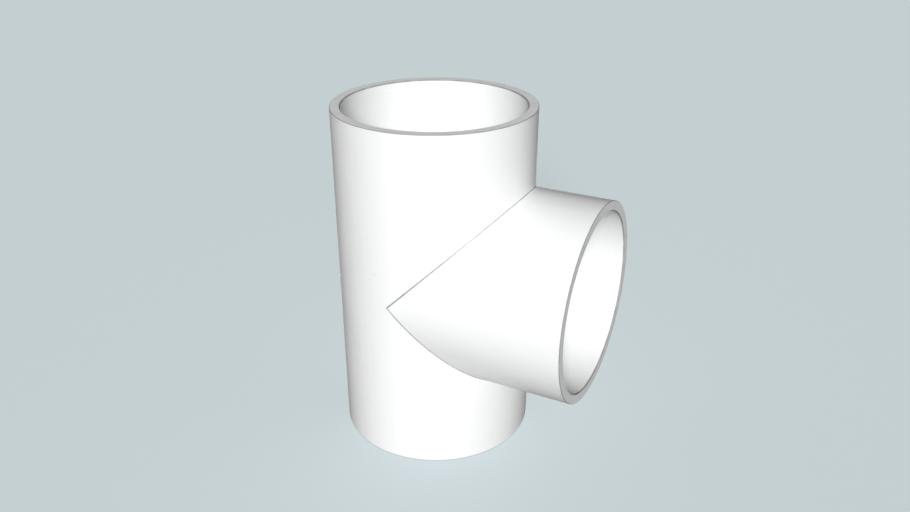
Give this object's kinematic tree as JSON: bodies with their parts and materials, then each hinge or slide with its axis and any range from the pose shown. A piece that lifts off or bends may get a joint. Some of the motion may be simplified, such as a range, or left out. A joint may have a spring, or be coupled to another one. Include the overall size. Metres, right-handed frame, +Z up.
{
  "type": "pipe tee",
  "caption": "Equal slip tee with plain-ended barrels: the branch meets the run at a welded mitre, and each mouth is a pipe socket with a stop ring behind it.",
  "frame": {"origin": "centre of the run's bottom mouth, on the run's axis", "axes": "+Z up the run's axis, out of its top mouth; +X along the branch's axis, out of its mouth; +Y completes the right-handed frame, and XZ is the fitting's plane of symmetry"},
  "size_m": [0.1754, 0.1286, 0.223],
  "materials": {
    "barrel_pvc": "extruded white PVC, smooth, with cut and turned ends",
    "ring_pvc": "white PVC, sawn and edge-rounded",
    "weld_pvc": "white PVC filler, melted in place and dressed outside"
  },
  "bodies": {
    "root": {"run_barrel": "barrel_pvc", "branch_barrel": "barrel_pvc", "top_stop_ring": "ring_pvc", "bottom_stop_ring": "ring_pvc", "branch_stop_ring": "ring_pvc", "outer_seam_bead": "weld_pvc", "inner_seam_bead": "weld_pvc"}
  },
  "joints": []
}
